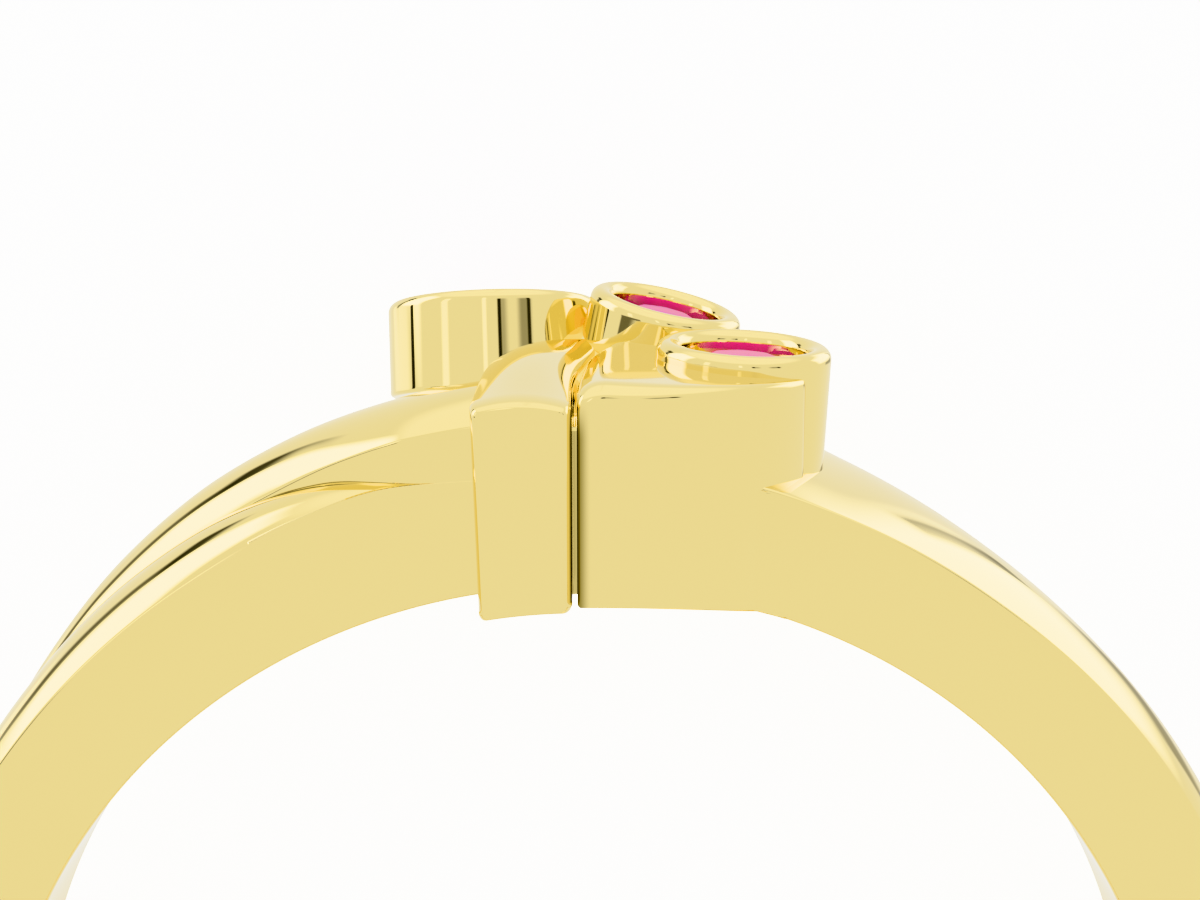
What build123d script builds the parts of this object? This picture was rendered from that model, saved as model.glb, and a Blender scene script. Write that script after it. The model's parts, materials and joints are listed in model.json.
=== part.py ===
"""Bypass ring in polished yellow gold with three round rubies in bezels.

The two ends of the band pass each other at the head. The left end carries two rounded ridges
and turns to the front, under a broad upright bar. The right end widens to the back and ends in
the largest bezel. A block beside the bar carries the small front bezel, and the middle bezel
stands between the two ends. The gold is cast and soldered into one piece; the stones are loose
pieces held in their seats.

The ring is drawn about its own axis: X to the right, Y from the ring's centre through the head,
Z out of the front face of the band. Depth is measured backwards from that face, so Z = -depth.
At the end the ring is laid on its back edge, and the surface it lies on becomes Z = 0.
"""

from build123d import *
from math import asin, cos, degrees, radians, sin, sqrt, tan
import os

# Driving sizes in millimetres. A bore of 17.3 mm across is a common finger size.
bore_radius = 8.65
band_width = 2.2
bore_depth = 2.6            # the bore's wall is straight to here, behind the band's back
bore_reach = 8.0            # the bore is cut this far to the front and to the back
bore_relief = 0.2           # and widens by this under the head, from its straight wall on
band_edge_radius = 10.2
band_crown_radius = 10.58
band_foot = 8.2             # the band's sections start here, and are bored out at the end
ridge_foot = 7.9            # and those of the ridge beside it
head_foot = 7.2             # the bar, the block and the core start at this height
proud = 0.25                # sections stand in front of the front face, which is cut flat

# Each row is one section: its angle from the head in degrees, clockwise positive, the depths of
# its front edge, crown and back edge, and the radii of those three lines. The band runs from its
# left end, which turns to the front, round the finger to its right end, which turns to the back.
PLAIN_ROW = (0.0, band_width / 2, band_width, band_edge_radius, band_crown_radius, band_edge_radius)
BAND = [
    # angle, front, crown, back, front radius, crown radius, back radius
    (348.5, -0.20, 0.00, 1.00, 10.30, 10.37, 9.90),
    (344.0, 0.00, 0.24, 1.30, 10.40, 10.48, 10.00),
    (340.0, 0.00, 0.50, 1.60, 10.34, 10.62, 10.15),
    (336.0, 0.00, 0.75, 1.85, 10.31, 10.70, 10.25),
    (330.0, 0.00, 0.95, 2.05, 10.24, 10.72, 10.25),
    (320.0, 0.00, 1.10, 2.20, 10.22, 10.68, 10.22),
    (310.0, 0.00, 1.10, 2.20, 10.20, 10.61, 10.20),
    *[(float(angle), *PLAIN_ROW) for angle in range(299, 60, -26)],
    (50.0, 0.00, 1.20, 2.40, 10.18, 10.58, 10.18),
    (35.0, 0.00, 1.90, 3.30, 10.20, 10.58, 10.16),
    (20.0, 0.00, 2.80, 4.80, 10.30, 10.60, 10.20),
    (10.0, 0.40, 3.80, 5.70, 10.40, 11.00, 10.50),
    (0.0, 2.20, 4.70, 6.20, 10.60, 11.85, 10.95),
    (-7.0, 3.90, 4.95, 6.00, 10.60, 11.60, 10.60),
]

# The ridge behind the left end's own. It rises out of the band and ends under the bar.
BACK_RIDGE = [
    # angle, front, crown, back, front radius, crown radius, back radius
    (-68.0, 0.50, 1.20, 1.92, 9.92, 10.28, 9.92),
    (-61.0, 0.52, 1.28, 2.06, 10.04, 10.43, 10.04),
    (-54.0, 0.64, 1.48, 2.34, 10.12, 10.56, 10.10),
    (-47.0, 0.92, 1.82, 2.78, 10.32, 10.74, 10.22),
    (-41.0, 1.15, 2.10, 3.10, 10.50, 10.91, 10.35),
    (-30.0, 1.00, 2.00, 3.10, 10.66, 11.13, 10.50),
    (-24.0, 0.75, 1.75, 3.00, 10.74, 11.22, 10.60),
    (-20.0, 0.55, 1.60, 2.90, 10.83, 11.28, 10.65),
    (-16.0, 0.25, 1.40, 2.80, 10.93, 11.33, 10.70),
    (-12.0, 0.00, 1.20, 2.70, 11.01, 11.38, 10.75),
    (-6.0, 0.00, 1.10, 2.55, 11.02, 11.43, 10.80),
    (0.0, 0.00, 1.10, 2.50, 11.02, 11.45, 10.85),
]

# The upright bar, seen in plan: across the ring, then backwards from the front face.
bar_front = -1.38
bar_left = -1.43
bar_right = -0.11
bar_taper = 0.06            # how much its left side leans in, down to the bore
bar_top_side = 11.41
bar_top_crown = 11.52
bar_edge_round = 0.08
bar_tip = (0.42, 4.10)

# The block beside it. Its front wall is an arc in plan that meets the band's front face.
slot_width = 0.06
slot_depth = 0.7
block_front = -0.98
block_front_radius = 3.70
block_right = 3.12
block_back = 2.90
block_top = 11.55
block_edge_round = 0.28
flare_radius = 1.2          # of the hollow curve where its front wall runs out into the band
flare_top = 10.33

block_left = bar_right + slot_width
block_centre = (block_left, block_front + block_front_radius)
block_sweep = degrees(asin((block_right - block_left) / block_front_radius))
block_start = -90.0
block_corner = (block_right, block_centre[1] - block_front_radius * cos(radians(block_sweep)))

# The solid middle, where the two ends of the band are soldered together: its top, and its
# outline in plan, across the ring and backwards.
core_top = 10.95
core_front = block_front + slot_depth
CORE_PLAN = [
    (-0.95, core_front),
    (0.60, core_front),
    (2.50, 0.60),
    (2.50, 4.00),
    (1.80, 5.20),
    (-0.30, 5.20),
    (-0.45, 3.80),
    (-0.95, 2.40),
]

# Bezels: centre of the rim (across, depth, height), lean to the right and to the front in
# degrees, outer radius, height and stone diameter.
BEZELS = {
    "back": ((-1.50, 5.15, 11.99), -2.0, -14.0, 1.71, 1.54, 2.70),
    "middle": ((1.31, 3.90, 12.15), 12.5, 5.0, 1.20, 1.35, 1.65),
    "front": ((2.33, 1.80, 11.80), 2.5, 2.0, 1.27, 2.00, 1.80),
}
rim_round = 0.17
seat_gap = 0.02             # between a stone and the gold round it
table_drop = 0.20           # of a stone's table below the rim
well_depth = 0.12           # below the stone's point

# Proportions of a round brilliant, as shares of its diameter.
table_share = 0.56
crown_share = 0.15
girdle_share = 0.03
pavilion_share = 0.43

# Resting pose: how far the ring leans back onto its head, and to the side, and where its centre
# then lies above the middle of its own footprint.
rest_tilt = 12.5
rest_roll = 1.76
rest_place = (0.033, -1.482, 4.375)

plan = Plane(origin=(0, 0, 0), x_dir=(1, 0, 0), z_dir=(0, 1, 0))


def section_plane(angle):
    """The plane through the ring's axis at an angle: its x is depth, its y is the radius."""
    turn = radians(angle)
    return Plane(origin=(0, 0, 0), x_dir=(0, 0, -1), z_dir=(cos(turn), -sin(turn), 0))


def front_edge(front, crown, front_r, crown_r):
    """The front end of a section's dome, drawn on past the front face where it reaches that."""
    if front > 0:
        return (front, front_r)
    run = crown - front
    curve = (run ** 2 + (crown_r - front_r) ** 2) / (2 * (crown_r - front_r))
    run = min(crown + proud, 0.95 * curve)
    return (crown - run, crown_r - curve + sqrt(curve ** 2 - run ** 2))


def ridge(rows, foot):
    """A rounded ridge lofted through its sections, each with a domed top and straight sides."""
    with BuildPart() as made:
        for angle, front, crown, back, front_r, crown_r, back_r in rows:
            edge = front_edge(front, crown, front_r, crown_r)
            with BuildSketch(section_plane(angle)):
                with BuildLine():
                    TangentArc((crown, crown_r), edge, tangent=(-1, 0))
                    Polyline(edge, (edge[0], foot), (back, foot), (back, back_r))
                    TangentArc((crown, crown_r), (back, back_r), tangent=(1, 0))
                make_face()
        loft()
    return made.part


def rim_plane(name):
    """The plane of a bezel's rim, with its z along the stone's axis."""
    (across, depth, height), lean_right, lean_front = BEZELS[name][:3]
    up = (tan(radians(lean_right)), 1.0, tan(radians(lean_front)))
    return Plane(origin=(across, height, -depth), x_dir=(1, -up[0], 0), z_dir=up)


def bezel(name):
    """A bezel's solid outer form: a short cylinder whose rim is rounded outside."""
    outer, tall = BEZELS[name][3:5]
    with BuildPart() as made:
        with BuildSketch(rim_plane(name).offset(-tall)):
            Circle(outer)
        extrude(amount=tall)
        fillet(made.edges().sort_by(Axis(rim_plane(name).origin, rim_plane(name).z_dir))[-1], rim_round)
    return made.part


def seat(name):
    """The hollow of a bezel: straight walls round the stone, then a cone under its point."""
    stone = BEZELS[name][5]
    opening = stone / 2 + seat_gap
    girdle = table_drop + stone * crown_share
    point = girdle + stone * (girdle_share + pavilion_share) + well_depth
    plane = rim_plane(name)
    with BuildPart() as made:
        with BuildSketch(Plane(origin=plane.origin, x_dir=plane.x_dir, z_dir=plane.y_dir * -1)):
            with BuildLine():
                Polyline(
                    (0, rim_round * 2),
                    (opening + rim_round, rim_round * 2),
                    (opening + rim_round, 0),
                )
                RadiusArc((opening + rim_round, 0), (opening, -rim_round), rim_round)
                Polyline(
                    (opening, -rim_round),
                    (opening, -girdle - stone * girdle_share - seat_gap),
                    (stone * 0.1, -point),
                    (0, -point),
                    (0, rim_round * 2),
                )
            make_face()
        revolve(axis=Axis(plane.origin, plane.z_dir))
    return made.part


def brilliant(size):
    """A round brilliant cut stone, its table at z = 0, made by cutting its facets off a blank."""
    crown = size * crown_share
    girdle = size * girdle_share
    pavilion = size * pavilion_share
    radius = size / 2
    table = radius * table_share
    crown_slope = crown / (radius - table)
    rows = [
        # facets, first angle in eighths of a turn, radius and height it passes, slope
        (8, 0.0, radius * cos(radians(11.25)), -crown, crown_slope),
        (8, 0.5, table * cos(radians(22.5)), 0.0, crown_slope * 0.66),
        (16, 0.25, radius, -crown, crown_slope * 1.2),
        (8, 0.0, radius * cos(radians(11.25)), -crown - girdle, -pavilion / radius),
        (16, 0.25, radius, -crown - girdle, -pavilion / radius * 1.07),
    ]
    with BuildPart() as made:
        with BuildSketch(Plane.XY.offset(-crown - girdle - pavilion)):
            RegularPolygon(radius, 32)
        extrude(amount=crown + girdle + pavilion)
        for count, first, reach, height, slope in rows:
            for step in range(count):
                turn = radians(45.0 * first + 360.0 * step / count)
                out = (cos(turn) * abs(slope), sin(turn) * abs(slope), 1.0 if slope > 0 else -1.0)
                foot = (cos(turn) * reach, sin(turn) * reach, height)
                split(bisect_by=Plane(origin=foot, z_dir=out), keep=Keep.BOTTOM)
    return made.part


with BuildPart() as bar:
    with BuildSketch(plan.offset(head_foot)):
        with BuildLine():
            Line((bar_right, bar_front), (bar_left, bar_front))
            Line((bar_left, bar_front), (bar_left, 0))
            Spline((bar_left, 0), (-0.97, 3.05), bar_tip, tangents=((0, 1), (1, 0.45)))
            Spline(bar_tip, (0.0, 1.87), (bar_right, 0), tangents=((-0.5, -1), (0, -1)))
            Line((bar_right, 0), (bar_right, bar_front))
        make_face()
    extrude(amount=bar_top_crown - head_foot)
    with BuildSketch(Plane.XY.offset(-bar_front)):
        with BuildLine():
            ThreePointArc(
                (bar_left, bar_top_side),
                ((bar_left + bar_tip[0]) / 2, bar_top_crown),
                (bar_tip[0], bar_top_side),
            )
            Polyline(
                (bar_tip[0], bar_top_side),
                (bar_tip[0], head_foot),
                (bar_left + bar_taper, head_foot),
                (bar_left, bar_top_side),
            )
        make_face()
    extrude(amount=bar_front * 2 - bar_tip[1], mode=Mode.INTERSECT)
    fillet(bar.faces().sort_by(Axis.Z)[-1].edges(), bar_edge_round)


with BuildPart() as block:
    with BuildSketch(plan.offset(head_foot)):
        with BuildLine():
            CenterArc(block_centre, block_front_radius, block_start, block_sweep)
            Polyline(
                block_corner,
                (block_right - 0.1, BEZELS["front"][0][1]),
                (2.6, block_back),
                (0.36, block_back),
            )
            Spline(
                (0.36, block_back),
                (slot_width, 1.87),
                (block_left, 0),
                tangents=((-0.45, -1), (0, -1)),
            )
            Line((block_left, 0), (block_left, block_front))
        make_face()
    extrude(amount=block_top - head_foot)
    fillet(block.faces().sort_by(Axis.Y)[-1].edges(), block_edge_round)

flare_centre = (
    block_centre[0] + sqrt((block_front_radius + flare_radius) ** 2 - (block_centre[1] + flare_radius) ** 2),
    -flare_radius,
)
flare_share = block_front_radius / (block_front_radius + flare_radius)
flare_start = (
    block_centre[0] + flare_share * (flare_centre[0] - block_centre[0]),
    block_centre[1] + flare_share * (flare_centre[1] - block_centre[1]),
)
with BuildPart() as flare:
    with BuildSketch(plan.offset(head_foot)):
        with BuildLine():
            RadiusArc(flare_start, (flare_centre[0], 0), -flare_radius)
            Polyline(
                (flare_centre[0], 0),
                (flare_centre[0], block_back),
                (flare_start[0], block_back),
                flare_start,
            )
        make_face()
    extrude(amount=block_top - head_foot)
    with BuildSketch(Plane.XY.offset(block_back)):
        Circle(flare_top)
    extrude(amount=-2 * block_back, mode=Mode.INTERSECT)

with BuildPart() as core:
    with BuildSketch(plan.offset(head_foot)):
        Polygon(*CORE_PLAN, align=None)
    extrude(amount=core_top - head_foot)

with BuildPart() as band:
    add(ridge(BAND, band_foot))
    add(ridge(BACK_RIDGE, ridge_foot))
    with BuildSketch(Plane.XY):
        Rectangle(4 * bore_radius, 4 * bore_radius)
    extrude(amount=2 * band_width, mode=Mode.SUBTRACT)

with BuildPart() as gold:
    add(band.part)
    add(core.part)
    add(block.part)
    add(flare.part)
    add(bar.part)
    for name in BEZELS:
        add(bezel(name))
    for name in BEZELS:
        add(seat(name), mode=Mode.SUBTRACT)
    with BuildSketch(Plane.XZ):
        Polygon(
            (0, bore_reach),
            (bore_radius, bore_reach),
            (bore_radius, -bore_depth),
            (bore_radius + bore_relief, -bore_reach),
            (0, -bore_reach),
            align=None,
        )
    revolve(axis=Axis.Z, mode=Mode.SUBTRACT)

rest = Location(rest_place, (rest_tilt, rest_roll, 0))
pieces = {"ring_body": gold.part}
for name in BEZELS:
    table = rim_plane(name).offset(-table_drop)
    pieces["ruby_" + name] = brilliant(BEZELS[name][5]).moved(table.location)

os.makedirs("parts", exist_ok=True)
for name, piece in pieces.items():
    placed = piece.moved(rest)
    placed.label = name
    export_step(placed, "parts/" + name + ".step")
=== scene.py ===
# %% [markdown]
# # A bypass ring in polished gold
# The ring is one cast and soldered piece of yellow gold with three round rubies. The two ends of
# its band pass each other at the head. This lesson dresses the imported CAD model: the frame says
# where everything is, and each stretch of gold is drawn again as a smooth surface, because a
# mirror finish shows every facet of a coarse mesh.

# %% Load the frame
import json

import bpy
import numpy as np
from mathutils import Matrix


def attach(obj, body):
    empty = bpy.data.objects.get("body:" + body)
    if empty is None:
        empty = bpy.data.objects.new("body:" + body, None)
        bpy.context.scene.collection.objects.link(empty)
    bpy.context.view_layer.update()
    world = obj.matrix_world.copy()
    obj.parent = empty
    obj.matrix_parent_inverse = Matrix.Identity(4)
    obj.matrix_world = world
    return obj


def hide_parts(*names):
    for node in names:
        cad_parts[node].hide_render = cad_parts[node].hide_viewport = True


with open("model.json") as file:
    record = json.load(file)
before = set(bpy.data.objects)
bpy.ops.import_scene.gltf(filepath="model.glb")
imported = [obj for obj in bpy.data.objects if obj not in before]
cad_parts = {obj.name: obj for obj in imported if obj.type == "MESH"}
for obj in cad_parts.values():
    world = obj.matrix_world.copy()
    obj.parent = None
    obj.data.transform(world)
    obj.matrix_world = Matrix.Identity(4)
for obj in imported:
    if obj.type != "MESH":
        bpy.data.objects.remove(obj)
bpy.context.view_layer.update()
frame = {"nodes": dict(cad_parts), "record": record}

# %% [markdown]
# The ring lies on its side, so it leans back on its largest bezel. Shapes are easier to think
# about upright, around the finger's axis: X to the right, Y up through the head, Z out of the
# front of the band, whose flat face is at Z = 0. The record gives the finger bore's axis and the
# middle of its wall, which starts at the front of the bar, 1.38 mm before that face. This turns
# and moves every point from the upright ring, in millimetres, to the row frame, in metres.

# %% From the upright ring to the row frame
bore_mount = frame["record"]["mounts"][0]
bore_radius = bore_mount["dims"]["r_mm"]
bore_wall = bore_mount["dims"]["length_mm"]
bore_axis = np.array(bore_mount["axis"]) / np.linalg.norm(bore_mount["axis"])
bar_front = -1.38
tilt = np.arctan2(-bore_axis[1], bore_axis[2])
roll = np.arcsin(bore_axis[0])
lean_back = np.array([
    [1, 0, 0],
    [0, np.cos(tilt), -np.sin(tilt)],
    [0, np.sin(tilt), np.cos(tilt)],
])
lean_aside = np.array([
    [np.cos(roll), 0, np.sin(roll)],
    [0, 1, 0],
    [-np.sin(roll), 0, np.cos(roll)],
])
turn = lean_back @ lean_aside
ring_centre = np.array(bore_mount["pos_m"]) * 1000 + bore_axis * (bar_front + bore_wall / 2)


def to_row(points):
    """Turn upright ring coordinates by the lean, add the centre's place, and go from mm to m."""
    return (points @ turn.T + ring_centre) / 1000


print("the ring leans back", round(np.degrees(tilt), 2), "and aside", round(np.degrees(roll), 2), "degrees")

# %% [markdown]
# Every stretch of gold is closed by the same trick. Its points form a grid: the columns go round
# it and meet again, and the first and last rows shrink to one point, a pole. That covers a band,
# a block and a turned bezel alike, so one function turns any such grid into a mesh.

# %% A closed surface from a grid of points
pieces = {}


def add_surface(name, grid):
    """Quads join each row of the grid to the next, with wrapped columns, and triangles close both
    poles. If the enclosed volume comes out negative, the faces are turned to point outwards."""
    rows, columns = grid.shape[:2]
    points = np.vstack([grid[0, :1], grid[1:-1].reshape(-1, 3), grid[-1, :1]])
    row = np.arange(rows - 3)[:, None] * columns + 1
    here = np.arange(columns)
    beside = (here + 1) % columns
    quads = np.stack([row + here, row + beside, row + beside + columns, row + here + columns], -1)
    last_row = 1 + (rows - 3) * columns
    top = np.stack([np.zeros(columns, int), 1 + beside, 1 + here], -1)
    end = np.stack([np.full(columns, len(points) - 1), last_row + here, last_row + beside], -1)
    halves = [quads.reshape(-1, 4)[:, columns_used] for columns_used in ([0, 1, 2], [0, 2, 3])]
    a, b, c = points[np.vstack(halves)].swapaxes(0, 1)
    if np.einsum("ij,ij->i", a - points[0], np.cross(b - points[0], c - points[0])).sum() < 0:
        quads, top, end = quads[..., ::-1], top[:, ::-1], end[:, ::-1]
    corners = np.concatenate([quads.ravel(), top.ravel(), end.ravel()])
    counts = np.concatenate([np.full(quads[..., 0].size, 4), np.full(2 * columns, 3)])
    mesh = bpy.data.meshes.new(name)
    mesh.vertices.add(len(points))
    mesh.vertices.foreach_set("co", to_row(points).astype(np.float32).ravel())
    mesh.loops.add(len(corners))
    mesh.loops.foreach_set("vertex_index", corners.astype(np.int32))
    mesh.polygons.add(len(counts))
    mesh.polygons.foreach_set("loop_start", (np.cumsum(counts) - counts).astype(np.int32))
    mesh.polygons.foreach_set("use_smooth", np.ones(len(counts), bool))
    mesh.update(calc_edges=True)
    mesh.validate()
    piece = bpy.data.objects.new(name, mesh)
    bpy.context.scene.collection.objects.link(piece)
    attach(piece, "root")
    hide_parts("ring_body")
    pieces[name] = piece
    print(name, "has", len(counts), "faces")
    return piece


def shrink(ring, shares):
    """Copies of a ring of points, scaled about the ring's middle by each share."""
    middle = ring.mean(0)
    return [middle + share * (ring - middle) for share in shares]


# %% [markdown]
# The band is a tapered, domed strip bent round the finger. Its left end runs to the front and
# sinks into the flat front face, and its right end widens, climbs and runs to the back. A sweep
# of one profile can't do that, so each row of this table is a cross section: where its front
# edge, crown and back edge lie, front to back, and how far out from the finger's axis. Depths
# and radii are in millimetres, and angles go clockwise from the head.

# %% The band's sections
plain = (0.0, 1.10, 2.20, 10.20, 10.58, 10.20)
band_rows = np.array([
    # angle, front, crown, back, front radius, crown radius, back radius
    (-7.0, 3.90, 4.95, 6.00, 10.60, 11.60, 10.60),
    (0.0, 2.20, 4.70, 6.20, 10.60, 11.85, 10.95),
    (9.0, 0.50, 3.80, 5.70, 10.40, 11.00, 10.50),
    (12.0, -0.02, 3.60, 5.50, 10.38, 10.90, 10.42),
    (20.0, -0.02, 2.80, 4.80, 10.30, 10.60, 10.20),
    (35.0, -0.02, 1.90, 3.30, 10.20, 10.58, 10.16),
    (50.0, -0.02, 1.20, 2.40, 10.18, 10.58, 10.18),
    (62.0, *plain),
    (298.0, *plain),
    (310.0, -0.02, 1.10, 2.20, 10.20, 10.61, 10.20),
    (320.0, -0.02, 1.10, 2.20, 10.22, 10.68, 10.22),
    (330.0, -0.02, 0.95, 2.05, 10.24, 10.72, 10.25),
    (336.0, -0.02, 0.75, 1.85, 10.31, 10.70, 10.25),
    (340.0, -0.02, 0.50, 1.60, 10.34, 10.62, 10.15),
    (344.0, -0.05, 0.24, 1.30, 10.38, 10.48, 10.00),
    (348.5, -0.20, 0.02, 1.00, 10.25, 10.33, 9.90),
    (354.0, -0.20, 0.02, 1.00, 10.15, 10.23, 9.90),
])
ridge_rows = np.array([
    # angle, front, crown, back, front radius, crown radius, back radius
    (-68.0, 0.50, 1.20, 1.92, 9.92, 10.28, 9.92),
    (-61.0, 0.52, 1.28, 2.06, 10.04, 10.43, 10.04),
    (-54.0, 0.64, 1.48, 2.34, 10.12, 10.56, 10.10),
    (-47.0, 0.92, 1.82, 2.78, 10.32, 10.74, 10.22),
    (-41.0, 1.15, 2.10, 3.10, 10.50, 10.91, 10.35),
    (-30.0, 1.00, 2.00, 3.10, 10.66, 11.13, 10.50),
    (-24.0, 0.75, 1.75, 3.00, 10.74, 11.22, 10.60),
    (-20.0, 0.55, 1.60, 2.90, 10.83, 11.28, 10.65),
    (-16.0, 0.22, 1.40, 2.80, 10.93, 11.33, 10.70),
    (-12.5, 0.00, 1.20, 2.70, 11.01, 11.38, 10.75),
    (-6.0, 0.00, 1.10, 2.55, 11.02, 11.43, 10.80),
    (-1.0, 0.00, 1.10, 2.50, 11.02, 11.45, 10.85),
])


def eased(places, stops, values, spread):
    """Straight between the stops and then rounded off: at every place it is the average over a
    bell-shaped stretch of that spread."""
    offsets = np.linspace(-2.5, 2.5, 41) * spread
    weights = np.exp(-0.5 * (offsets / spread) ** 2)
    return np.interp(places[:, None] + offsets, stops, values) @ weights / weights.sum()


def fair(rows, angles, spread):
    """The six columns of a table after its angles, eased to a smooth run over all the angles."""
    return [eased(angles, rows[:, 0], rows[:, column], spread) for column in range(1, 7)]


# %% [markdown]
# Polishing leaves no edge truly sharp. A corner is therefore a short curve from a point just
# before it to a point just after it. An extra line of points a little further on, on the flat
# side, keeps the smooth shading of the corner from running out over the flat face.

# %% One closed cross section at each angle
edge_round = 0.035
bore_round = 0.11
support = 0.02
end_shares = (0.0, 0.5, 0.97)


def toward(start, end, size):
    """The point at a given distance from start on the way to end."""
    way = end - start
    return start + way * (size / np.maximum(np.linalg.norm(way, axis=-1), 1e-9))[..., None]


def corner(point, before, after, size, steps=6):
    """A rounded corner: the curve with two ends at a distance of size from the point, pulled
    towards the point in between, as P = (1-t)^2 A + 2t(1-t) C + t^2 B."""
    share = np.linspace(0, 1, steps)[:, None, None]
    start = toward(point, before, size)
    end = toward(point, after, size)
    return (1 - share) ** 2 * start + 2 * share * (1 - share) * point + share ** 2 * end


def straight(start, end, trim_start, trim_end, steps=6):
    """Points on a straight side, with both ends pulled in past their rounded corners."""
    first = toward(start, end, trim_start + support)
    last = toward(end, start, trim_end + support)
    share = np.linspace(0, 1, steps)[:, None, None]
    return first + share * (last - first)


def dome(crown, crown_radius, edge, edge_radius, stop, steps=28):
    """Half of a domed top: the circle that is level at the crown and passes through the edge, from
    the crown out to the depth where it stops. Its radius is (run^2 + rise^2) / (2 rise)."""
    rise = crown_radius - edge_radius
    circle = ((crown - edge) ** 2 + rise ** 2) / (2 * rise)
    sweep = np.arcsin(np.clip((crown - stop) / circle, -1, 1))
    angle = np.linspace(0, 1, steps)[:, None] * sweep
    return np.stack([crown - circle * np.sin(angle), crown_radius - circle * (1 - np.cos(angle))], -1)


def sections(rows, angles, spread, foot, flush):
    """All cross sections at once, as points (depth, radius) in an array of points by angles: front
    dome, front face, bore wall, back face and back dome, with a rounded corner between each."""
    front, crown, back, front_radius, crown_radius, back_radius = fair(rows, angles, spread)
    stop = np.maximum(front, flush)
    fore = dome(crown, crown_radius, front, front_radius, stop)
    rear = dome(crown, crown_radius, back, back_radius, back)
    face_foot = np.stack([stop, np.full_like(stop, foot)], -1)
    back_foot = np.stack([back, np.full_like(back, foot)], -1)
    size = np.minimum(edge_round, 0.3 * np.linalg.norm(fore[-1] - fore[0], axis=-1))
    small = np.full_like(stop, edge_round)
    wide = np.full_like(stop, bore_round)
    return np.concatenate([
        fore[:-1],
        corner(fore[-1], fore[-2], face_foot, size),
        straight(fore[-1], face_foot, size, wide),
        corner(face_foot, fore[-1], back_foot, wide),
        straight(face_foot, back_foot, wide, wide),
        corner(back_foot, face_foot, rear[-1], wide),
        straight(back_foot, rear[-1], wide, small),
        corner(rear[-1], back_foot, rear[-2], small),
        rear[-2:0:-1],
    ])


def bend(profile, angles):
    """Carry each section round the finger's axis: x = r sin, y = r cos, z = -depth."""
    turn_by = np.radians(angles)
    depth, radius = profile[..., 0], profile[..., 1]
    points = np.stack([radius * np.sin(turn_by), radius * np.cos(turn_by), -depth], -1)
    grid = points.swapaxes(0, 1)
    ends = [shrink(grid[0], end_shares), shrink(grid[-1], end_shares[::-1])]
    return np.concatenate([ends[0], grid, ends[1]])


around = np.concatenate([
    np.linspace(-7, 62, 190)[:-1],
    np.linspace(62, 298, 160)[:-1],
    np.linspace(298, 354, 150),
])
add_surface("band", bend(sections(band_rows, around, 1.6, bore_radius, 0.0), around))

# %% [markdown]
# Behind the left end's own ridge a second one rises out of the band. Towards the head its front
# flank turns upright, until it lies flush with the front face and covers it. It is a surface of
# its own that passes into the band, so the valley between the two ridges is a crisp line without
# any modelling of the seam. Where both are flush it stays a thousandth of a millimetre behind.

# %% The ridge behind
flush = 0.001
ridge_angles = np.linspace(-68, -1, 240)
ridge_sections = sections(ridge_rows, ridge_angles, 1.1, bore_radius + flush, flush)
add_surface("back_ridge", bend(ridge_sections, ridge_angles))

# %% [markdown]
# The core between the ends, and the foot of the block that runs out into the band, are cut from
# plate: an outline in plan, straight walls and softly rounded edges. The outline has to shrink
# evenly for each step of a rounded edge. Every outline point therefore carries a mitre, the way
# it moves when both walls beside it move in by one, and the points of a rounded corner also carry
# the way out from its centre.

# %% Outlines that can be drawn in
def outline(points, radii):
    """Corner and side points in order, as arrays: place, mitre, way out and corner radius. A corner
    with a radius becomes seven points that fan from one wall's normal to the next wall's."""
    points = np.array(points, float)
    if np.sum(points[:, 0] * np.roll(points[:, 1], -1) - np.roll(points[:, 0], -1) * points[:, 1]) < 0:
        points, radii = points[::-1], radii[::-1]
    side = np.roll(points, -1, 0) - points
    after = np.stack([side[:, 1], -side[:, 0]], -1) / np.linalg.norm(side, axis=1)[:, None]
    before = np.roll(after, 1, 0)
    mitre = (before + after) / (1 + np.sum(before * after, 1))[:, None]
    made = []
    for place, way, first, last, radius in zip(points, mitre, before, after, radii):
        fan = np.linspace(0, 1, 7 if radius else 1)[:, None]
        out = first + fan * (last - first)
        out /= np.linalg.norm(out, axis=1)[:, None]
        made += [(*place, *way, *each, radius) for each in out]
    made = np.array(made)
    return made[:, 0:2], made[:, 2:4], made[:, 4:6], made[:, 6:7]


def drawn_in(shape, inset):
    """The outline moved in by an inset: place - max(inset, radius) * mitre, plus what is left of
    the corner's radius along the way out."""
    place, mitre, out, radius = shape
    return place - np.maximum(inset, radius) * mitre + np.maximum(radius - inset, 0) * out


def curve(start, start_way, end, end_way, steps):
    """Points of a smooth curve that leaves start along one way and reaches end along another,
    without its last point: the cubic that matches both places and both ways."""
    t = np.linspace(0, 1, steps + 1)[:-1, None]
    ends = np.array([start, start_way, end, end_way], float)
    weights = [2 * t**3 - 3 * t**2 + 1, t**3 - 2 * t**2 + t, -2 * t**3 + 3 * t**2, t**3 - t**2]
    return [tuple(point) for point in sum(weight * each for weight, each in zip(weights, ends))]


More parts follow.
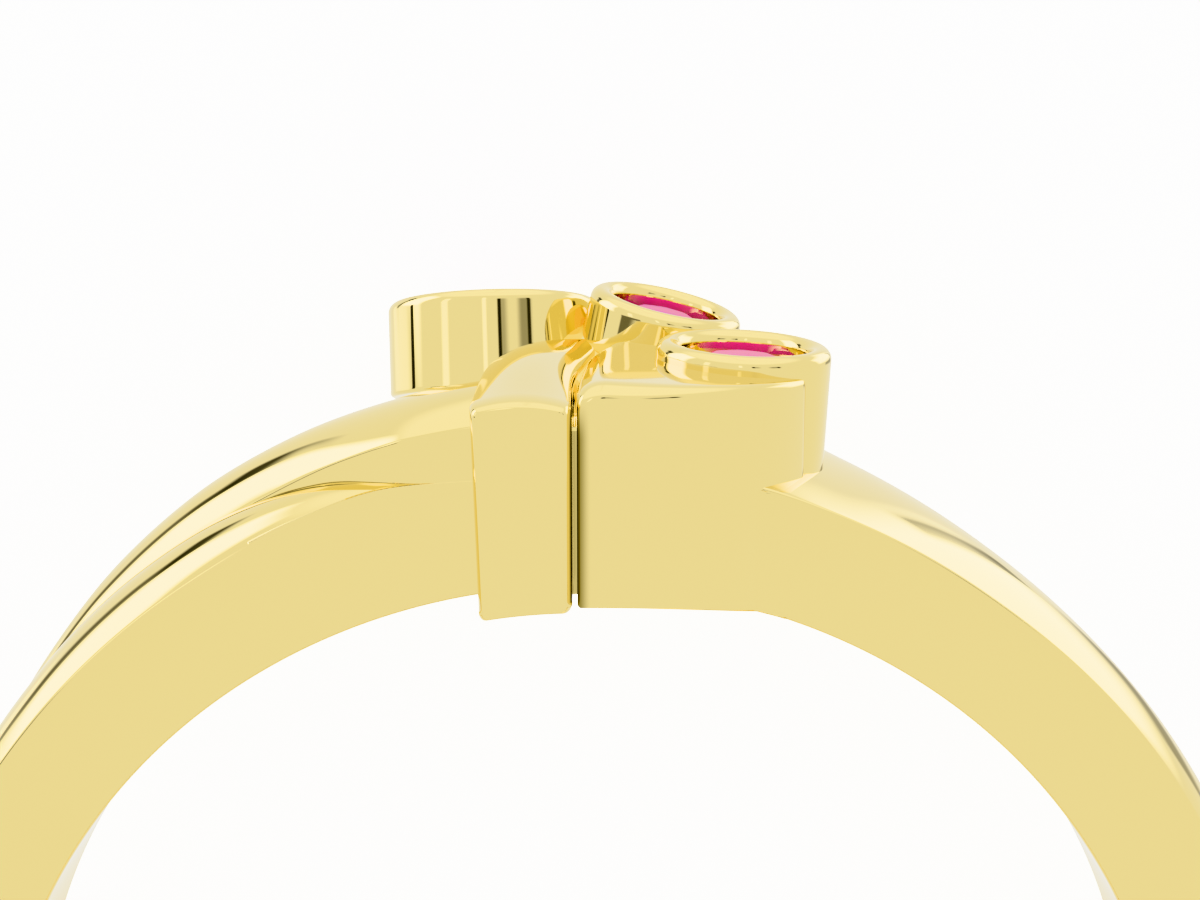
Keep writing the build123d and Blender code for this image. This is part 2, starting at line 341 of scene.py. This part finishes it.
def plate(shape, top, bottom, soften, bottom_round):
    """Rings of the outline, bottom to top: a bottom that shrinks to a pole, a rounded edge, the
    wall, a softened edge and the top. Top and bottom are heights worked out from x and depth, and
    soften gives how far the top edge is drawn in and how far it drops, from the same."""
    steps = np.linspace(0, np.pi / 2, 9)
    inset, drop = [np.broadcast_to(each, len(shape[0])) for each in soften(shape[0])]
    rings = []
    for share in (0.0, 0.2, 0.4, 0.6, 0.8, 0.94, 0.985):
        inner = drawn_in(shape, bottom_round)
        flat = inner.mean(0) + share * (inner - inner.mean(0))
        rings.append((flat, bottom(flat)))
    for step in steps:
        ring = drawn_in(shape, bottom_round * (1 - np.sin(step)))
        rings.append((ring, bottom(ring) + bottom_round * (1 - np.cos(step))))
    ring = drawn_in(shape, 0)
    low, high = bottom(ring) + bottom_round, top(ring) - drop
    for share in (0.01, 0.2, 0.5, 0.8, 0.99):
        rings.append((ring, low + (high - low) * share))
    for step in steps:
        ring = drawn_in(shape, inset[:, None] * (1 - np.cos(step)))
        rings.append((ring, top(ring) - drop * (1 - np.sin(step))))
    for share in np.linspace(1, 0, 25)[1:] ** 0.8:
        inner = drawn_in(shape, inset[:, None])
        flat = inner.mean(0) + share * (inner - inner.mean(0))
        rings.append((flat, top(flat)))
    return np.array([np.stack([flat[:, 0], height, -flat[:, 1]], -1) for flat, height in rings])


def on_bore(lift):
    """The height of the finger bore's wall at x: the root of r^2 - x^2, lifted by a hair."""
    return lambda flat: np.sqrt(bore_radius**2 - flat[:, 0] ** 2) + lift


# %% [markdown]
# The bar and the block have long walls and a top that bulges, so they are made as a ship's hull
# is: a row of sections along one direction. Each section has two walls, a bottom and a top whose
# edges are softened, and at both ends the sections are drawn in on all sides to round them. Both
# stand on the finger bore's wall, lifted by a hair so that no two faces fall together.

# %% A body from sections along one direction
beam_shares = (0.0, 0.3, 0.6, 0.9, 0.985)
edge_steps = 10
top_steps = 34
bottom_steps = 14
beam_lift = 0.002


def beam(along, low, high, top, bottom, low_edge, high_edge, foot, drawn):
    """A grid of points (along, across, height), one row for each section. Its columns run up the
    low wall, over the softened edge, across the top, and down the high wall to the bottom. An edge
    is a quarter of an ellipse: drawn in by its first number and dropped by its second."""
    turn_by = np.linspace(0, np.pi / 2, edge_steps)
    here, low, high = along[:, None], (low + drawn)[:, None], (high - drawn)[:, None]
    low_in, low_drop = [np.broadcast_to(each, along.shape)[:, None] for each in low_edge]
    high_in, high_drop = [np.broadcast_to(each, along.shape)[:, None] for each in high_edge]
    rise = np.array([0.0, 0.02, 0.25, 0.5, 0.75, 0.98])

    def top_at(across):
        return top(here, across) - drawn[:, None]

    def bottom_at(across):
        return bottom(here, across) + drawn[:, None]

    low_top, high_top = top_at(low) - low_drop, top_at(high) - high_drop
    low_foot, high_foot = bottom_at(low) + foot, bottom_at(high) + foot
    low_in_at = low + low_in * (1 - np.cos(turn_by))
    high_in_at = high - high_in * (1 - np.cos(turn_by[::-1]))
    over = low + low_in + (high - low - low_in - high_in) * np.linspace(0, 1, top_steps)[1:-1]
    under = high - foot + (low - high + 2 * foot) * np.linspace(0, 1, bottom_steps)[1:-1]
    low_foot_at = low + foot * (1 - np.cos(turn_by[::-1]))
    high_foot_at = high - foot * (1 - np.cos(turn_by))
    across = [
        low + 0 * rise, low_in_at, over, high_in_at,
        high + 0 * rise, high_foot_at, under, low_foot_at,
    ]
    height = [
        low_foot + (low_top - low_foot) * rise,
        top_at(low_in_at) - low_drop * (1 - np.sin(turn_by)),
        top_at(over),
        top_at(high_in_at) - high_drop * (1 - np.sin(turn_by[::-1])),
        high_top + (high_foot - high_top) * (1 - rise[::-1]),
        bottom_at(high_foot_at) + foot * (1 - np.sin(turn_by)),
        bottom_at(under),
        bottom_at(low_foot_at) + foot * (1 - np.sin(turn_by[::-1])),
    ]
    across, height = np.concatenate(across, 1), np.concatenate(height, 1)
    grid = np.stack([np.broadcast_to(here, across.shape), across, height], -1)
    ends = [shrink(grid[0], beam_shares), shrink(grid[-1], beam_shares[::-1])]
    return np.concatenate([ends[0], grid, ends[1]])


def rounded_end(start, inwards, width, depth):
    """Places and drawn-in amounts of an end's rounded edge, a quarter of an ellipse."""
    angle = np.linspace(0, np.pi / 2, edge_steps)
    return start + inwards * depth * (1 - np.cos(angle)), width * (1 - np.sin(angle))


# %% [markdown]
# The upright bar crosses the band at the head. Its front is flat and its top is a low pillow.
# Behind, it bends to the right and ends in a point between the bezels. Its two side lines are
# smooth curves in plan, and each section reaches from one to the other.

# %% The bar
bar_left = -1.43
bar_right = -0.11
bar_tip = (0.42, 4.10)
bar_height = 11.41
bar_arch = 0.11
bar_bulge = 0.20
bar_lean = 0.03
bar_edge_round = 0.07
bar_foot_round = 0.1
bar_left_line = np.array(
    [(bar_left, bar_front - 1)]
    + curve((bar_left, 0), (0, 3.4), (-0.97, 3.05), (1.5, 1.7), 30)
    + curve((-0.97, 3.05), (1.3, 1.5), bar_tip, (1.4, 0.6), 30)
    + [bar_tip]
)
bar_right_line = np.array(
    [(bar_right, bar_front - 1)]
    + curve((bar_right, 0), (0, 1.9), (0.0, 1.87), (0.25, 1.9), 30)
    + curve((0.0, 1.87), (0.25, 1.9), bar_tip, (0.8, 2.2), 30)
    + [bar_tip]
)


def bar_side(line, depth):
    """How far across a side line is at each depth, with its bends eased."""
    return eased(depth, line[:, 1], line[:, 0], 0.05)


def bar_top(depth, across):
    """A pillow: an arch between the bar's two sides, 1 - s^2 for s from -1 to 1, that is highest
    where the bar starts to bend."""
    left, right = [bar_side(line, depth[:, 0])[:, None] for line in (bar_left_line, bar_right_line)]
    share = np.clip((2 * across - left - right) / (right - left + 0.1), -1, 1)
    along = np.clip((depth - bar_front) / (bar_tip[1] - bar_front), 0, 1)
    return bar_height + (bar_arch + bar_bulge * np.sin(np.pi * along**1.3)) * (1 - share**2)


front_rows, front_drawn = rounded_end(bar_front, 1, 0.10, 0.40)
back_rows = np.concatenate([np.linspace(-0.94, 3.0, 60), np.linspace(3.03, bar_tip[1] - 0.04, 40)])
bar_rows = np.concatenate([front_rows, back_rows])
bar_drawn = np.concatenate([front_drawn, 0 * back_rows])
low, high = bar_side(bar_left_line, bar_rows), bar_side(bar_right_line, bar_rows)
bar_edge = np.minimum(bar_edge_round, 0.3 * (high - low))
bar_foot = bar_foot_round * np.minimum(1, high - low)[:, None]
bar = beam(
    bar_rows, low, high, bar_top,
    lambda depth, across: np.sqrt(bore_radius**2 - across**2) + beam_lift,
    (bar_edge, bar_edge), (bar_edge, bar_edge), bar_foot, bar_drawn,
)
depth, across, height = bar[..., 0], bar[..., 1], bar[..., 2]
left_share = np.clip((bar_right - across) / (bar_right - bar_left), 0, 1)
across = across + bar_lean * (bar_height - height) * left_share
add_surface("bar", np.stack([across, height, -depth], -1))

# %% [markdown]
# The block stands beside the bar, a hair's breadth away. Its front is a wide arc in plan. Its top
# falls a little to the right and is rounded off towards the slot, and its front edge is softest
# on that side. Low down the arc runs out into the band's front face in a hollow curve, which is
# a small plate of its own under the arc.

# %% The block and its run-out
slot_width = 0.06
block_left = bar_right + slot_width
block_right = 3.12
block_back = 2.90
block_front_depth = -0.98
block_top_height = 11.68
block_slope = 0.08
block_edge_round = 0.06
block_foot_round = 0.05
slot_edge_round = 0.05
block_radius = 3.70
block_centre = np.array([block_left, block_front_depth + block_radius])
sweep = np.arcsin((block_right - block_left) / block_radius)


def block_arc(first, last, steps, inset=0.0):
    """Points on the block's front arc between two shares of its sweep."""
    angle = np.linspace(first, last, steps + 1)[:-1] * sweep
    return [tuple(block_centre + (block_radius - inset) * np.array([np.sin(a), -np.cos(a)])) for a in angle]



def block_front(across):
    """The depth of the front arc: its centre's depth less the root of R^2 - x^2."""
    reach = np.clip(across - block_centre[0], 0, block_radius)
    return block_centre[1] - np.sqrt(block_radius**2 - reach**2)


left_rows, left_drawn = rounded_end(block_left, 1, slot_edge_round, slot_edge_round)
right_rows, right_drawn = rounded_end(block_right, -1, block_edge_round, block_edge_round)
middle_rows = block_left + 0.06 + (block_right - block_left - 0.14) * np.linspace(0, 1, 120) ** 1.4
block_rows = np.concatenate([left_rows, middle_rows, right_rows[::-1]])
block_drawn = np.concatenate([left_drawn, 0 * middle_rows, right_drawn[::-1]])
block_back_line = eased(block_rows, [2.60, 3.02, 3.12], [block_back, 2.0, 1.4], 0.05)
broad = 1 - eased(block_rows, [0.7, 2.0], [0, 1], 0.2)
shoulder = 0.42
shoulder_drop = 0.24


def block_top(across, depth):
    """A plane that falls a little to the right. Beside the slot it is rounded off by a quarter of
    an ellipse: drop * (1 - sqrt(1 - s^2)) for s from 1 at the slot to 0 at the shoulder's end."""
    share = np.clip(1 - (across - block_left) / shoulder, 0, 0.97)
    fall = shoulder_drop * (1 - np.sqrt(1 - share**2))
    return block_top_height - block_slope * across - fall + 0 * depth


block = beam(
    block_rows, block_front(block_rows), block_back_line, block_top,
    lambda across, depth: np.sqrt(bore_radius**2 - across**2) + beam_lift + 0 * depth,
    (0.15 + 0.20 * broad, 0.10 + 0.10 * broad), (block_edge_round, block_edge_round),
    block_foot_round, block_drawn,
)
across, depth, height = block[..., 0], block[..., 1], block[..., 2]
slot_bend = eased(depth.ravel(), [0.0, 1.87, 2.90], [0.0, 0.11, 0.40], 0.25).reshape(depth.shape)
across = across + slot_bend * np.clip((block_right - across) / (block_right - block_left), 0, 1)
add_surface("block", np.stack([across, height, -depth], -1))

run_out_radius = 0.45
run_out_height = 10.33
run_out_x = block_centre[0] + np.sqrt(
    (block_radius + run_out_radius) ** 2 - (block_centre[1] + run_out_radius) ** 2
)
run_out_centre = np.array([run_out_x, flush / 2 - run_out_radius])
meeting = block_centre + (run_out_centre - block_centre) * block_radius / (block_radius + run_out_radius)
meeting_share = np.arcsin((meeting[0] - block_centre[0]) / block_radius) / sweep
hollow = np.linspace(np.arctan2(*(meeting - run_out_centre)[::-1]), np.pi / 2, 25)[:-1]
run_out_points = (
    block_arc(meeting_share - 0.15, meeting_share, 5, flush)
    + [tuple(run_out_centre + run_out_radius * np.array([np.cos(a), np.sin(a)])) for a in hollow]
    + [(run_out_x, flush), (run_out_x + 0.2, flush), (run_out_x + 0.2, 0.5), (meeting[0] - 0.3, 0.5)]
)
run_out = plate(
    outline(run_out_points, [0.0] * len(run_out_points)),
    lambda flat: np.sqrt(run_out_height**2 - flat[:, 0] ** 2), on_bore(0.003),
    lambda place: (0.03, 0.03), 0.05,
)
add_surface("run_out", run_out)

# %% [markdown]
# Between the ends of the band, the bar and the block lies the solid middle where they are
# soldered together. It is seen in the gaps between the bezels, and from below and behind.

# %% The core
core_points = [
    (-0.95, -0.28), (0.60, -0.28), (2.50, 0.60), (2.50, 4.00),
    (1.80, 5.20), (-0.30, 5.20), (-0.45, 3.80), (-0.95, 2.40),
]
core_height = 10.95
core = plate(
    outline(core_points, [0.1] * len(core_points)), lambda flat: np.full(len(flat), core_height),
    on_bore(0.004), lambda place: (0.08, 0.08), 0.08,
)
add_surface("core", core)

# %% [markdown]
# The bezels are short tubes, turned on a lathe and soldered on at a lean, with a lip that is
# burnished over the stone and rounded inside and out. A turned part is one profile carried once
# round an axis. The bottom is closed, and a cone under the stone leaves room for its point.

# %% The bezels
bezels = {
    # rim centre (x, depth, height), lean right, lean to the front, outer radius, height, stone
    "back": ((-1.50, 5.15, 11.99), -2.0, -14.0, 1.71, 1.54, 2.70),
    "middle": ((1.31, 3.90, 12.15), 12.5, 5.0, 1.20, 1.35, 1.65),
    "front": ((2.33, 1.80, 11.80), 2.5, 2.0, 1.27, 2.00, 1.80),
}
rim_round = 0.17
foot_round = 0.06
seat_gap = 0.02
table_drop = 0.20
around_bezel = np.radians(np.linspace(0, 360, 145)[:-1])


def bezel_profile(outer, tall, stone):
    """Radius and height below the rim, from the bottom's middle, up outside, over the rounded lip
    and down inside to the point of the seat."""
    inner = stone / 2 + seat_gap
    quarter = np.linspace(0, np.pi / 2, 12)
    girdle = table_drop + stone * 0.15
    point = girdle + stone * 0.46 + 0.12
    foot = [
        (outer - foot_round + foot_round * np.sin(a), -tall + foot_round * (1 - np.cos(a))) for a in quarter
    ]
    lip = [(outer - rim_round * (1 - np.cos(a)), -rim_round * (1 - np.sin(a))) for a in quarter]
    inside = [(inner + rim_round * (1 - np.sin(a)), -rim_round * (1 - np.cos(a))) for a in quarter]
    return np.array(
        [(0, -tall), (outer * 0.5, -tall), (outer - foot_round - support, -tall)]
        + foot
        + [(outer, -tall + foot_round + support), (outer, -tall / 2), (outer, -rim_round - support)]
        + lip
        + inside
        + [(inner, -rim_round - support), (inner, -girdle), (inner, -girdle - stone * 0.05)]
        + [(stone * 0.42, -girdle - stone * 0.08), (stone * 0.1, -point + 0.01), (0, -point)]
    )


for name, (rim, lean_right, lean_front, outer, tall, stone) in bezels.items():
    up = np.array([np.tan(np.radians(lean_right)), 1, np.tan(np.radians(lean_front))])
    side = np.array([1, -up[0], 0])
    up, side = up / np.linalg.norm(up), side / np.linalg.norm(side)
    ahead = np.cross(up, side)
    profile = bezel_profile(outer, tall, stone)
    ways = np.cos(around_bezel)[:, None] * side + np.sin(around_bezel)[:, None] * ahead
    centre = np.array([rim[0], rim[2], -rim[1]])
    turned = centre + profile[:, 0, None, None] * ways + profile[:, 1, None, None] * up
    add_surface("bezel_" + name, turned)

# %% [markdown]
# Gold has no colour of its own apart from its reflections, so the material is a plain metal with
# gold's tint, and the studio does the rest. Materials and the studio's light both need to know
# where they are in the upright ring, and both need soft-edged patches, so those are helpers.

# %% Small helpers for materials
def colour(code):
    """An sRGB hex value as linear red, green, blue and alpha: each channel c becomes
    ((c + 0.055) / 1.055) ^ 2.4, or c / 12.92 near black."""
    channels = np.array([int(code[i:i + 2], 16) for i in (1, 3, 5)]) / 255
    linear = np.where(channels > 0.04045, ((channels + 0.055) / 1.055) ** 2.4, channels / 12.92)
    return (*linear, 1.0)


def add_node(owner, kind, settings=None, links=None):
    """Add a node to a material or world. Settings give its own properties and the constants on its
    sockets, and links give the outputs that other sockets take their values from."""
    node = owner.node_tree.nodes.new(kind)
    for key, value in (settings or {}).items():
        if isinstance(key, int) or key in node.inputs:
            node.inputs[key].default_value = value
        else:
            setattr(node, key, value)
    for key, source in (links or {}).items():
        owner.node_tree.links.new(source, node.inputs[key])
    return node


def upright_parts(owner, vector):
    """A vector's share along each of the upright ring's three directions, as dot products."""
    dots = [{"operation": "DOT_PRODUCT", 1: tuple(turn[:, axis])} for axis in range(3)]
    made = [add_node(owner, "ShaderNodeVectorMath", dot, {0: vector}) for dot in dots]
    return [node.outputs["Value"] for node in made]


def patch(owner, edges):
    """A soft-edged patch: 1 inside and 0 outside. Each edge is a value, the numbers between which
    it steps smoothly, and what it steps from and to. All the steps are multiplied together."""
    inside = None
    for value, start, end, before, after in edges:
        ramp = {"interpolation_type": "SMOOTHSTEP", "From Min": start, "From Max": end}
        ramp |= {"To Min": before, "To Max": after}
        edge = add_node(owner, "ShaderNodeMapRange", ramp, {"Value": value}).outputs["Result"]
        if inside:
            links = {0: inside, 1: edge}
            inside = add_node(owner, "ShaderNodeMath", {"operation": "MULTIPLY"}, links).outputs[0]
        else:
            inside = edge
    return inside


def new_material(name):
    """A material with only an output node."""
    material = bpy.data.materials.new(name)
    material.use_nodes = True
    material.node_tree.nodes.clear()
    return material


# %% [markdown]
# A polished casting isn't perfect. The tint wanders a little over a few millimetres, and the
# buffing wheel leaves a very fine haze, drawn here a few tenths of a millimetre coarse so that
# it shows at all. The narrow slot between the bar and the block gets a painted shade: a dark
# olive is mixed into the gold's colour there, so that the slot reads as a dark line.

# %% Polished yellow gold
cloud_size = 3.85
haze_size = 0.385
polished_gold = new_material("polished_yellow_gold_14_carat")
place = add_node(polished_gold, "ShaderNodeTexCoord").outputs["Object"]
cloud_look = {"Scale": 1000 / cloud_size, "Detail": 3.0}
cloud = add_node(polished_gold, "ShaderNodeTexNoise", cloud_look, {"Vector": place})
shades = {"data_type": "RGBA", 6: colour("#F5E29C"), 7: colour("#F3E099")}
tint = add_node(polished_gold, "ShaderNodeMix", shades, {0: cloud.outputs["Fac"]})
haze_look = {"Scale": 1000 / haze_size, "Detail": 4.0}
haze = add_node(polished_gold, "ShaderNodeTexNoise", haze_look, {"Vector": place})
buffed = {"To Min": 0.02, "To Max": 0.05}
gloss = add_node(polished_gold, "ShaderNodeMapRange", buffed, {"Value": haze.outputs["Fac"]})
from_centre = add_node(
    polished_gold, "ShaderNodeVectorMath", {1: tuple(-ring_centre / 1000)}, {0: place}
).outputs[0]
to_right, to_head, to_front = upright_parts(polished_gold, from_centre)
slot_edges = [
    # direction, from and to in millimetres, value before and after
    (to_right, -0.14, -0.10, 0, 1),
    (to_right, -0.06, 0.14, 1, 0),
    (to_front, 0.0, 0.6, 0, 1),
    (to_head, 10.9, 11.5, 1, 0),
]
in_slot = patch(polished_gold, [
    (way, start / 1000, end / 1000, before, after) for way, start, end, before, after in slot_edges
])
# Painted shade: a dark olive mixed into the gold's colour darkens the narrow slot between bar and block.
dark = {"data_type": "RGBA", 7: colour("#8A7A34")}
painted_slot_shade = add_node(polished_gold, "ShaderNodeMix", dark, {0: in_slot, 6: tint.outputs[2]})
gold = add_node(
    polished_gold, "ShaderNodeBsdfPrincipled", {"Metallic": 1.0},
    {"Base Color": painted_slot_shade.outputs[2], "Roughness": gloss.outputs["Result"]},
)
add_node(polished_gold, "ShaderNodeOutputMaterial", links={"Surface": gold.outputs["BSDF"]})
for piece in pieces.values():
    piece.data.materials.append(polished_gold)

# %% [markdown]
# The stones are the CAD's own nodes, because a brilliant cut is flat facets and nothing else.
# Ruby is corundum coloured by chromium: clear, with an index of 1.76, and so deep in colour that
# a small stone looks almost opaque. The base is more purple than the stone appears, because the
# gold round it throws yellow light on it. The silk, fine needles in the crystal, is drawn as
# clouds about a millimetre wide so that it shows.

# %% Ruby
silk_size = 1.11
ruby = new_material("ruby_brilliant_cut")
place = add_node(ruby, "ShaderNodeTexCoord").outputs["Object"]
silk_look = {"Scale": 1000 / silk_size, "Detail": 2.0}
silk = add_node(ruby, "ShaderNodeTexNoise", silk_look, {"Vector": place})
shades = {"data_type": "RGBA", 6: colour("#B4009A"), 7: colour("#9C0080")}
body = add_node(ruby, "ShaderNodeMix", shades, {0: silk.outputs["Fac"]})
crystal = {"IOR": 1.76, "Roughness": 0.02, "Transmission Weight": 0.2, "Specular IOR Level": 0.12}
gem = add_node(ruby, "ShaderNodeBsdfPrincipled", crystal, {"Base Color": body.outputs[2]})
add_node(ruby, "ShaderNodeOutputMaterial", links={"Surface": gem.outputs["BSDF"]})
for name in bezels:
    stone = frame["nodes"]["ruby_" + name]
    stone.data.materials.clear()
    stone.data.materials.append(ruby)

# %% [markdown]
# The ring lies on a sheet of white paper that is lit from below, as on a light table, so no
# shadow falls on it. The gold doesn't reflect it, as if the tent's light reached round the ring.

# %% The floor
floor_half = 1.5
grain_size = 3.33
floor_mesh = bpy.data.meshes.new("floor")
floor_corners = [(-1, -1), (1, -1), (1, 1), (-1, 1)]
floor_mesh.from_pydata([(x * floor_half, y * floor_half, 0) for x, y in floor_corners], [], [(0, 1, 2, 3)])
floor = bpy.data.objects.new("floor", floor_mesh)
bpy.context.scene.collection.objects.link(floor)
floor.visible_glossy = False
paper = new_material("white_studio_paper")
place = add_node(paper, "ShaderNodeTexCoord").outputs["Object"]
grain_look = {"Scale": 1000 / grain_size, "Detail": 2.0}
grain = add_node(paper, "ShaderNodeTexNoise", grain_look, {"Vector": place})
pale = {"To Min": 0.97, "To Max": 0.99}
white = add_node(paper, "ShaderNodeMapRange", pale, {"Value": grain.outputs["Fac"]})
matt = {"Roughness": 0.9, "Specular IOR Level": 0.0}
matt |= {"Emission Color": (1, 1, 1, 1), "Emission Strength": 4.0}
sheet = add_node(paper, "ShaderNodeBsdfPrincipled", matt, {"Base Color": white.outputs["Result"]})
add_node(paper, "ShaderNodeOutputMaterial", links={"Surface": sheet.outputs["BSDF"]})
floor_mesh.materials.append(paper)

# %% [markdown]
# Polished gold shows nothing but its surroundings, so the light is drawn the way a jewellery
# photographer builds it: a white tent, a few brighter panels that give the domes their bands of
# light, and black cards, called flags, whose thin dark reflections draw the edges of the metal.
# All of it is far away, so it is painted on the world by direction. Azimuth goes to the right
# from the direction that the ring's front faces, and elevation goes from the finger's axis
# towards the head, both in degrees.

# %% The studio light
cards = {
    # azimuth from, to, elevation from, to, softness, brightness
    "panel on the left": (-118, -86, 6, 46, 9, 7.0),
    "panel on the right": (112, 152, 6, 30, 10, 6.0),
    "tent's top": (-180, 180, 50, 90, 14, 1.6),
    "strip light over the left": (-56, -49, 8, 30, 3, 2.5),
    "strip light over the camera": (-9, -5, 14, 30, 2, 2.5),
    "flag beside the camera, left edge": (8, 12, 14, 24, 2, 0.02),
    "flag beside the camera, left half": (10, 18, 14, 24, 8, 0.5),
    "flag beside the camera, right half": (32, 46, 14, 24, 8, 0.4),
    "flag beside the camera, right edge": (42, 46, 14, 24, 2, 0.05),
    "low flag on the left": (-70, -38, -6, 1, 3, 0.2),
    "paper behind the left panel": (-135, -104, -8, 3, 8, 2.0),
    "flag on the left": (-99, -94, -4, 7, 1.5, 0.02),
    "tent's seam on the left": (-129, -122, -2, 27, 5, 0.2),
    "gap over that seam": (-134, -121, 24, 32, 5, 0.08),
    "tent's seam on the right": (149, 154, 3, 18, 3, 0.2),
    "table's edge on the right": (128, 150, -8, 0, 5, 0.45),
}
world = bpy.data.worlds.new("white_tent")
bpy.context.scene.world = world
world.use_nodes = True
world.node_tree.nodes.clear()
direction = add_node(world, "ShaderNodeTexCoord").outputs["Generated"]
across, up, ahead = upright_parts(world, direction)
azimuth = add_node(world, "ShaderNodeMath", {"operation": "ARCTAN2"}, {0: across, 1: ahead}).outputs[0]
elevation = add_node(world, "ShaderNodeMath", {"operation": "ARCSINE"}, {0: up}).outputs[0]
light = None
for left, right, low, high, soft, brightness in cards.values():
    sides = [(azimuth, left, 0, 1), (azimuth, right, 1, 0), (elevation, low, 0, 1), (elevation, high, 1, 0)]
    inside = patch(world, [
        (angle, np.radians(at - soft / 2), np.radians(at + soft / 2), before, after)
        for angle, at, before, after in sides
    ])
    change = {"To Min": 1.0, "To Max": brightness}
    card = add_node(world, "ShaderNodeMapRange", change, {"Value": inside}).outputs["Result"]
    if light:
        links = {0: light, 1: card}
        light = add_node(world, "ShaderNodeMath", {"operation": "MULTIPLY"}, links).outputs[0]
    else:
        light = card
print("the tent holds", len(cards), "cards")
tent = add_node(world, "ShaderNodeBackground", {"Color": (1, 1, 1, 1)}, {"Strength": light})
add_node(world, "ShaderNodeOutputWorld", links={"Surface": tent.outputs["Background"]})
bpy.context.scene.view_settings.view_transform = "Khronos PBR Neutral"

# %% [markdown]
# The photo looks into the finger hole from a little above the ring's front, from close by. In
# the upright ring the camera stands 22 mm in front of the band's face and looks down by twelve
# degrees. The same turn that lays the ring down takes the camera along.

# %% The camera
camera_place = np.array([0.25, 15.28, 22.05])
camera_pitch = np.radians(12.0)
forward = np.array([0, -np.sin(camera_pitch), -np.cos(camera_pitch)])
upward = np.array([0, np.cos(camera_pitch), -np.sin(camera_pitch)])
right = np.cross(forward, upward)
lens = bpy.data.cameras.new("camera")
lens.lens = 50
lens.sensor_width = 36
lens.clip_start = 0.001
camera = bpy.data.objects.new("camera", lens)
bpy.context.scene.collection.objects.link(camera)
axes = turn @ np.stack([right, upward, -forward], -1)
place_in_row = to_row(camera_place)
camera.matrix_world = Matrix([[*axes[i], place_in_row[i]] for i in range(3)] + [[0, 0, 0, 1]])
bpy.context.scene.camera = camera
print("the camera stands", round(place_in_row[2] * 1000, 1), "mm above the floor")
